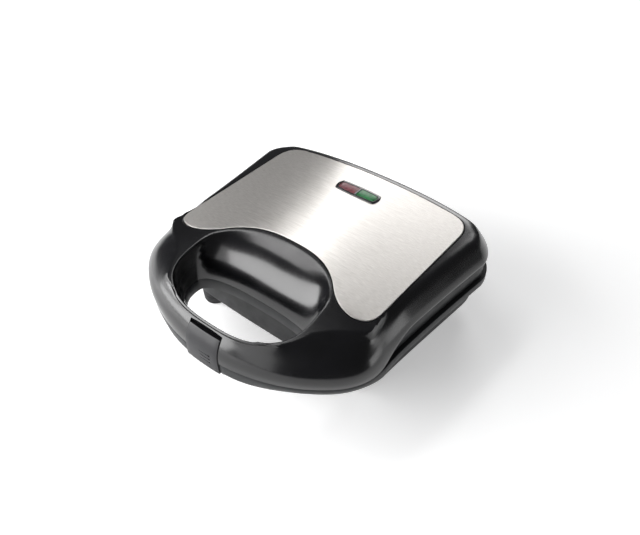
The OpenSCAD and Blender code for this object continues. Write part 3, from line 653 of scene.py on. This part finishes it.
def clipRoomCutter():
    bm = bmesh.new()
    low, high = clip["halfLow"] + clip["gap"], clip["halfTop"] + clip["gap"]
    ring = startRing(bm, [(-low, -130, 30), (low, -130, 30),
                          (high, -130, clip["gapTop"]), (-high, -130, clip["gapTop"])])
    ring = growRing(bm, ring, [(-low, -105.6, 30), (low, -105.6, 30),
                               (high, -105.6, clip["gapTop"]),
                               (-high, -105.6, clip["gapTop"])])
    closeRing(bm, ring)
    closeRing(bm, list(bm.verts)[:4])
    bmesh.ops.recalc_face_normals(bm, faces=bm.faces)
    return toObject(bm, "clipRoomCutter")


shell = makeShell()
carve(shell, [grooveCutter(), clipRoomCutter()])
shade(shell, 30)
dress(shell, gloss, "lid", ["lid_shell"])
print("stage: lid shell", len(shell.data.polygons))


# ---- steel top plate --------------------------------------------------------
plateMake = {"proud": 0.3, "thick": 0.8, "bevel": 0.28, "strip": 5}


def makePlate():
    edge = closedOutline("steel")
    z = plateMake["proud"]
    bevel = plateMake["bevel"]
    bm = skinOf([flat(edge, z - plateMake["thick"]), flat(edge, z - bevel),
                 flat(inset(edge, bevel * 0.3), z - bevel * 0.3),
                 flat(inset(edge, bevel), z), flat(inset(edge, bevel + 0.3), z)])
    strip = plateMake["strip"]
    cuts = [((1, 0, 0), (s * strip * mm, 0, 0)) for s in range(-17, 18)]
    cuts += [((0, 1, 0), (0, s * strip * mm, 0)) for s in range(-9, 19)]
    for normal, place in cuts:
        geom = bm.verts[:] + bm.edges[:] + bm.faces[:]
        bmesh.ops.bisect_plane(bm, geom=geom, dist=1e-7, plane_no=normal,
                               plane_co=place)
    for v in bm.verts:
        v.co.z += landZ(v.co.x / mm, v.co.y / mm) * mm
    return toObject(bm, "topPlateBrushed")


plate = makePlate()
shade(plate, 25)
dress(plate, steel, "lid", ["top_plate"])


# ---- lamp window ------------------------------------------------------------
window = {"y": 64, "halfX": 20.5, "halfY": 7, "frame": 2.2, "bar": 0.8,
          "low": 82.6, "top": 84, "lensTop": 83.75}


def windowOutline(grow=0.0, steps=8):
    a, d = window["halfX"], window["halfY"]
    path = [((0, -d), (a * 0.35, -d), (a * 0.7, -d + 0.3), (a - 2.2, -d + 1.1)),
            ((a - 2.2, -d + 1.1), (a + 0.2, -2.4), (a + 0.2, 2.4),
             (a - 2.2, d - 1.1)),
            ((a - 2.2, d - 1.1), (a * 0.7, d - 0.3), (a * 0.35, d), (0, d))]
    right = []
    for piece in path:
        right += [bezier(piece, i / steps) for i in range(steps)]
    points = right + [(0, d)] + [(-x, y) for x, y in reversed(right[1:])]
    return [(x, y + window["y"]) for x, y in inset(points, -grow)]


def lensOutline(side, gap):
    inner = windowOutline(-window["frame"] + gap)
    bar = window["bar"] - gap
    half = [(x, y) for x, y in inner if x * side > bar]
    if side > 0:
        low = min((p for p in inner if p[1] < window["y"]), key=lambda p: abs(p[0]))
        high = min((p for p in inner if p[1] > window["y"]), key=lambda p: abs(p[0]))
        return [(bar, low[1])] + half + [(bar, high[1])]
    return [(-x, y) for x, y in reversed(lensOutline(1, gap))]


def makeBezel():
    edge = windowOutline(0)
    bezel = toObject(skinOf([
        flat(edge, window["low"]), flat(edge, window["top"] - 0.5),
        flat(inset(edge, 0.2), window["top"] - 0.15),
        flat(inset(edge, 0.6), window["top"])]), "lampBezelGloss")
    carve(bezel, [prism("lensCutter", lensOutline(side, 0.1), 70, 90)
                  for side in (-1, 1)])
    soften(bezel, 0.15, 1)
    return bezel


def makeLens(side, name):
    edge = lensOutline(side, 0)
    top = window["lensTop"]
    return toObject(skinOf([
        flat(edge, window["low"]), flat(edge, top - 0.3),
        flat(inset(edge, 0.25), top - 0.08), flat(inset(edge, 0.7), top)]), name)


bezel = makeBezel()
shade(bezel)
dress(bezel, gloss, "lid", ["lamp_bezel"])
for side, name, finish, node in ((-1, "redLens", redLensFinish, "red_lens"),
                                 (1, "greenLens", greenLensFinish, "green_lens")):
    lens = makeLens(side, name)
    shade(lens)
    dress(lens, finish, "lid", [node])
print("stage: lid top")


# ---- lid frame: the satin band and the inner floor --------------------------
band = {"inset": 3, "tongue": 6, "floor": 2.5, "flange": 52.3}
hingeRoom = {"x": 62, "half": 11.6}
grill = {"halfX": 88, "front": -39, "rear": 83, "radius": 14}


def grillArea(grow):
    return roundedRect(grill["halfX"] + grow, grill["front"] - grow,
                       grill["rear"] + grow, grill["radius"] + grow)


def hingeCutters(low, high, start=99.3):
    x, half = hingeRoom["x"], hingeRoom["half"]
    return [block("hingeCutter", (s * x - half, start, low), (s * x + half, 140, high))
            for s in (-1, 1)]


def makeLidFrame():
    body = closedOutline("body")
    low = lid["parting"]

    def ring(amount, height):
        return [(p[0], p[1], height(p[1])) for p in inset(body, amount)]
    skin = skinOf([
        ring(band["inset"] + 0.5, lambda y: low),
        ring(band["inset"], lambda y: low + 0.5),
        ring(band["inset"], lambda y: max(low + 2.5, edgeZ(y) - 0.3)),
        ring(band["inset"] + 0.4, lambda y: max(low + 2.55, edgeZ(y) - 0.25)),
        ring(band["tongue"], lambda y: max(low + 2.6, edgeZ(y) - 0.2)),
        ring(band["tongue"], lambda y: max(low + 2.7, edgeZ(y) + 2)),
        ring(band["tongue"] + 2, lambda y: max(low + 2.7, edgeZ(y) + 2)),
        ring(band["tongue"] + 2, lambda y: low + band["floor"])])
    thing = toObject(skin, "lidFrameSatin")
    carve(thing, [
        prism("grillCutter", grillArea(-3.5), 0, 100),
        prism("flangeCutter", grillArea(0.4), 0, band["flange"]),
        prism("fingerCutter", fingerOval(120, grow=3.9), 0, 100),
        block("clipCutter", (-16.7, -140, 30), (16.7, -109.1, 90))]
        + hingeCutters(43, 56.5))
    return thing


lidFrame = makeLidFrame()
soften(lidFrame, 0.3, 2)
shade(lidFrame)
dress(lidFrame, satin, "lid", ["lid_frame"])


# ---- base frame: the rim and the handle's lower half -------------------------
rim = {"low": 40.5, "gripLow": 38.5, "top": 48, "ledge": 41.5, "flange": 44,
       "wall": 2.5, "gripY": -46, "trayFront": -50.8, "undercut": 3.4}


def rimSolid(name, low):
    body = closedOutline("body")
    return toObject(skinOf([
        flat(inset(body, 1.8), low), flat(inset(body, 0.9), low + 0.25),
        flat(inset(body, 0.3), low + 0.9), flat(body, low + 2),
        flat(body, rim["top"] - 0.6), flat(inset(body, 0.18), rim["top"] - 0.18),
        flat(inset(body, 0.6), rim["top"])]), name)


def gripInset(amount, share):
    # the handle's lower edge is drawn in towards its corners
    body = closedOutline("body")
    out = []
    for p, n in zip(body, inwards(body)):
        away = amount + share * rim["undercut"] * cornerPart(*p)
        out.append((p[0] + n[0] * away, p[1] + n[1] * away))
    return out


def gripSolid(name):
    low = rim["gripLow"]
    return toObject(skinOf([
        flat(gripInset(1.8, 1), low), flat(gripInset(0.9, 1), low + 0.2),
        flat(gripInset(0.4, 0.95), low + 0.7), flat(gripInset(0.1, 0.75), low + 1.8),
        flat(gripInset(0, 0.5), low + 3.2), flat(gripInset(0, 0.25), low + 4.8),
        flat(gripInset(0, 0.08), low + 6.6),
        flat(closedOutline("body"), rim["top"] - 0.6),
        flat(gripInset(0.18, 0), rim["top"] - 0.18),
        flat(gripInset(0.6, 0), rim["top"])]), name)


def makeBaseFrame():
    inner = inset(closedOutline("body"), rim["wall"])
    top = rim["top"] - rim["wall"]
    sides = rimSolid("baseFrameSatin", rim["low"])
    carve(sides, [block("gripCutter", (-150, -150, 20), (150, rim["gripY"], 60)),
                  prism("underCutter", inner, 30, top)])
    grip = gripSolid("gripHalf")
    hollow = prism("gripHollow", gripInset(rim["wall"], 1), 30, top)
    keep = prism("gripSkirt", fingerOval(120, grow=rim["wall"]), 20, 60)
    carve(hollow, [keep])
    carve(grip, [block("rearCutter", (-150, rim["gripY"], 20), (150, 150, 60)),
                 hollow])
    ledge = prism("ledge", grillArea(2.4), rim["ledge"], rim["top"])
    pocket = block("pocketWall", (-18.1, -112, rim["gripLow"]), (18.1, -107.8, 47.5))
    carve(sides, [grip, ledge, pocket], "UNION")
    room = block("clipPocket", (-16.1, -130, 30), (16.1, -108.5, 60))
    catch = block("catchKeep", (-8.5, -110.2, 43.3), (8.5, -107.5, 47.5))
    carve(room, [catch])
    carve(sides, [prism("grillCutter", grillArea(-3.5), 0, 100),
                  prism("flangeCutter", grillArea(0.4), rim["flange"], 100),
                  prism("fingerCutter", fingerOval(120), 0, 100), room,
                  block("trayFrontCutter", (-70, rim["trayFront"], 20),
                        (70, -46.5, top))]
          + hingeCutters(36, 60))
    return sides


baseFrame = makeBaseFrame()
soften(baseFrame, 0.25, 2)
shade(baseFrame)
dress(baseFrame, satin, "base", ["base_frame"])
print("stage: frames", len(baseFrame.data.polygons))


# ---- base tray ---------------------------------------------------------------
trayMake = {"low": 13, "top": 45.5, "wall": 2.5}


def makeTray():
    edge = closedOutline("tray")

    def shape(off, low, high):
        return [flat(inset(edge, off + 5), low), flat(inset(edge, off + 3), low + 0.35),
                flat(inset(edge, off + 1.6), low + 1.3),
                flat(inset(edge, off + 0.6), low + 3.5), flat(inset(edge, off), high)]
    tray = toObject(skinOf(shape(0, trayMake["low"], trayMake["top"])), "baseTrayMatt")
    hollow = toObject(skinOf(shape(trayMake["wall"], trayMake["low"] + trayMake["wall"],
                                   60)), "trayHollow")
    slots = [block("slot", (i * 9 - 1.25, 10, 0), (i * 9 + 1.25, 40, 20))
             for i in range(-4, 5)]
    carve(tray, [hollow] + slots)
    return tray


tray = makeTray()
soften(tray, 0.3, 1)
shade(tray)
dress(tray, matt, "base", ["base_tray"])


# ---- feet ----------------------------------------------------------------------
footMake = {
    # outer profile from the table up, as (radius, z)
    "profile": ((0, 0.35), (5.2, 0.35), (5.6, 0), (8.6, 0), (9.25, 0.3), (9.5, 1),
                (9.9, 2), (10.3, 7.2), (9.9, 7.6), (9.9, 8.4), (10.35, 8.8),
                (10.5, 13), (10.5, 13.6)),
    "steps": 64,
}


def makeFoot(name, x, y):
    bm = bmesh.new()
    line = [bm.verts.new((x * mm + r * mm, y * mm, z * mm))
            for r, z in footMake["profile"]]
    edges = [bm.edges.new(pair) for pair in zip(line, line[1:])]
    bmesh.ops.spin(bm, geom=line + edges, cent=(x * mm, y * mm, 0), axis=(0, 0, 1),
                   angle=2 * math.pi, steps=footMake["steps"], use_merge=True)
    bmesh.ops.remove_doubles(bm, verts=bm.verts, dist=1e-7)
    top = [e for e in bm.edges if e.is_boundary]
    bmesh.ops.edgeloop_fill(bm, edges=top)
    bmesh.ops.recalc_face_normals(bm, faces=bm.faces)
    return toObject(bm, name)


for node, x, y in (("foot_front_left", -71, -36), ("foot_front_right", 71, -36),
                   ("foot_rear_left", -78, 80), ("foot_rear_right", 78, 80)):
    foot = makeFoot("rubber_" + node, x, y)
    shade(foot)
    dress(foot, rubber, "base", [node])
print("stage: base")


# ---- latch clip ------------------------------------------------------------------
clipMake = {
    # outer face, from the lower edge up, as (y, z)
    "outer": ((-113.8, 38.3), (-114.0, 44), (-113.9, 50), (-113.2, 55.5),
              (-111.3, 61), (-108.2, 66)),
    "thick": 2.7, "steps": 20, "bow": 0.5,
    "pivot": (-105.4, 61.5), "barrel": 2.5, "bore": 1.55,
    # three engraved lines: lowest height, spacing, and the dot at each one's end
    "lineLow": 44.6, "lineStep": 3.2, "lineWide": 0.5, "dot": 0.75,
}


def makeClip():
    steps = clipMake["steps"]
    outer = [smoothThrough(clipMake["outer"], i / steps) for i in range(steps + 1)]
    inner = []
    for i, (y, z) in enumerate(outer):
        a, b = outer[max(0, i - 1)], outer[min(steps, i + 1)]
        dy, dz = b[0] - a[0], b[1] - a[1]
        long = math.hypot(dy, dz)
        thick = clipMake["thick"]
        inner.append((y + dz / long * thick, z - dy / long * thick))
    loop = outer + inner[::-1]

    def half(z):
        f = (z - clip["low"]) / (clip["top"] - clip["low"])
        return clip["halfLow"] + (clip["halfTop"] - clip["halfLow"]) * f
    across = [-1, -0.75, -0.5, -0.25, 0, 0.25, 0.5, 0.75, 1]
    bow = clipMake["bow"]
    rings = [[(half(z) * s, y + bow * s * s, z) for y, z in loop] for s in across]
    thing = toObject(skinOf(rings), "latchClipSatin")
    pivotY, pivotZ = clipMake["pivot"]
    barrel = cylinderX("barrel", clipMake["barrel"], -14.8, 14.8, pivotY, pivotZ)
    web = toObject(skinOf([[(s * 12, y, z) for y, z in (
        (pivotY, pivotZ - 1.7), (pivotY, pivotZ + 1.7), (-109.6, pivotZ + 1.7),
        (-110.4, pivotZ - 1.7))] for s in (-1, 1)]), "web")
    hook = toObject(skinOf([[(s * 8, y, z) for y, z in (
        (-111.8, 39.6), (-109.1, 41), (-109.1, 42.2), (-111.8, 43.4))]
        for s in (-1, 1)]), "hook")
    carve(thing, [barrel, web, hook], "UNION")
    marks = []
    for i in range(3):
        z, wide = clipMake["lineLow"] + i * clipMake["lineStep"], clipMake["lineWide"]
        marks.append(block("line", (-1.5, -115.5, z), (7, -113.35, z + wide)))
        marks.append(cylinderY("dot", clipMake["dot"], -115.5, -113.1, 7.6,
                               z + wide / 2))
    bore = cylinderX("bore", clipMake["bore"], -30, 30, pivotY, pivotZ)
    carve(thing, marks + [bore])
    return thing


def cylinderX(name, radius, x0, x1, y, z):
    bm = bmesh.new()
    bmesh.ops.create_cone(bm, cap_ends=True, segments=32, radius1=radius * mm,
                          radius2=radius * mm, depth=(x1 - x0) * mm,
                          matrix=Matrix.Translation(Vector(((x0 + x1) / 2, y, z)) * mm)
                          @ Matrix.Rotation(math.pi / 2, 4, "Y"))
    return toObject(bm, name)


def cylinderY(name, radius, y0, y1, x, z):
    bm = bmesh.new()
    bmesh.ops.create_cone(bm, cap_ends=True, segments=24, radius1=radius * mm,
                          radius2=radius * mm, depth=(y1 - y0) * mm,
                          matrix=Matrix.Translation(Vector((x, (y0 + y1) / 2, z)) * mm)
                          @ Matrix.Rotation(math.pi / 2, 4, "X"))
    return toObject(bm, name)


clipPiece = makeClip()
soften(clipPiece, 0.25, 2, 50)
shade(clipPiece)
dress(clipPiece, clipSatin, "latch", ["latch_clip"])
print("stage: latch")

# ---- the pieces that keep their solids get their finish ----------------------------
finishOf = {
    "lower_grill_plate": coat, "upper_grill_plate": coat,
    "lower_heater": heaterMetal, "upper_heater": heaterMetal,
    "lower_reflector": sheetMetal, "upper_reflector": sheetMetal,
    "lower_heater_clips": sheetMetal, "upper_heater_clips": sheetMetal,
    "lower_plate_screws": zinc, "upper_plate_screws": zinc, "base_screws": zinc,
    "lid_screws": zinc, "hinge_pin_left": zinc, "hinge_pin_right": zinc,
    "latch_pin": zinc, "latch_bracket": satin,
    "base_hinge_left": satin, "base_hinge_right": satin,
    "lid_hinge_left": satin, "lid_hinge_right": satin,
    "thermostat": ceramic, "thermal_fuse": ceramic, "terminal_block": ceramic,
    "lamp_holder": ceramic, "cord_bush": rubber, "cord_clamp": matt,
    "red_lamp": redLensFinish, "green_lamp": greenLensFinish,
}
for node, finish in finishOf.items():
    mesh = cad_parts[node].data
    mesh.materials.clear()
    mesh.materials.append(finish)
print("stage: finishes")

# ---- camera ----------------------------------------------------------------------
view = {"azimuth": 38.56, "elevation": 41.92, "distance": 525.2, "lens": 36.57,
        "target": (-0.93, 16.43, 35)}


def makeCamera():
    azimuth, elevation = (math.radians(view[k]) for k in ("azimuth", "elevation"))
    back = Vector((math.sin(azimuth) * math.cos(elevation),
                   -math.cos(azimuth) * math.cos(elevation), math.sin(elevation)))
    data = bpy.data.cameras.new("photoCamera")
    data.lens = view["lens"]
    data.sensor_width = 36
    data.sensor_fit = "HORIZONTAL"
    data.clip_start = 0.01
    data.clip_end = 20
    camera = bpy.data.objects.new("photoCamera", data)
    bpy.context.scene.collection.objects.link(camera)
    camera.location = (Vector(view["target"]) + back * view["distance"]) * mm
    camera.rotation_euler = back.to_track_quat("Z", "Y").to_euler()
    bpy.context.scene.camera = camera


makeCamera()

# ---- studio ------------------------------------------------------------------------
studio = {
    # name: place, aim, width, height in metres, watts
    "skyLeft": ((-0.57, 0.12, 1.02), (0, 0.12, 0), 0.8, 0.16, 2.3),
    "skyBack": ((-0.33, 0.93, 0.56), (0, 0, 0.08), 0.5, 0.4, 3.4),
    "frontLeft": ((-0.8, -0.86, 0.5), (0, -0.03, 0.06), 1.3, 0.92, 28),
    "frontDim": ((-0.05, -1.17, 0.5), (0, -0.03, 0.06), 0.42, 0.92, 2),
    "rightStrip": ((1.13, 0.39, 0.14), (0, 0, 0.06), 0.3, 0.26, 0.7),
}


def addLight(name, place, aim, width, height, watts):
    data = bpy.data.lights.new(name, "AREA")
    data.shape = "RECTANGLE"
    data.size = width
    data.size_y = height
    data.energy = watts
    lamp = bpy.data.objects.new(name, data)
    bpy.context.scene.collection.objects.link(lamp)
    lamp.location = place
    back = Vector(place) - Vector(aim)
    lamp.rotation_euler = back.to_track_quat("Z", "Y").to_euler()


def makeStudio():
    for name, settings in studio.items():
        addLight(name, *settings)
    world = bpy.data.worlds.new("studioRoom")
    bpy.context.scene.world = world
    world.use_nodes = True
    tree = world.node_tree
    room = tree.nodes["Background"]
    room.inputs["Color"].default_value = toLinear("#f4f5f8")
    room.inputs["Strength"].default_value = 0.12
    bm = bmesh.new()
    bmesh.ops.create_grid(bm, x_segments=1, y_segments=1, size=4)
    floor = toObject(bm, "floor")
    paper, tree, shader, place = newMaterial("whitePaper", {
        "Base Color": toLinear("#fafafa"), "Roughness": 0.9,
        "Specular IOR Level": 0.1, "Emission Color": (1, 1, 1, 1)})
    path = addNode(tree, "ShaderNodeLightPath")
    # the paper's white shows to the camera and in gloss, metal and glass
    seen = path.outputs["Is Camera Ray"]
    for ray in ("Is Glossy Ray", "Is Transmission Ray"):
        seen = addNode(tree, "ShaderNodeMath", {"operation": "MAXIMUM"},
                       links={0: seen, 1: path.outputs[ray]}).outputs[0]
    glow = addNode(tree, "ShaderNodeMath", {"operation": "MULTIPLY"}, {1: 0.4},
                   {0: seen}).outputs[0]
    tree.links.new(glow, shader.inputs["Emission Strength"])
    floor.data.materials.append(paper)


makeStudio()
bpy.context.scene.view_settings.view_transform = "Standard"
print("stage: studio")
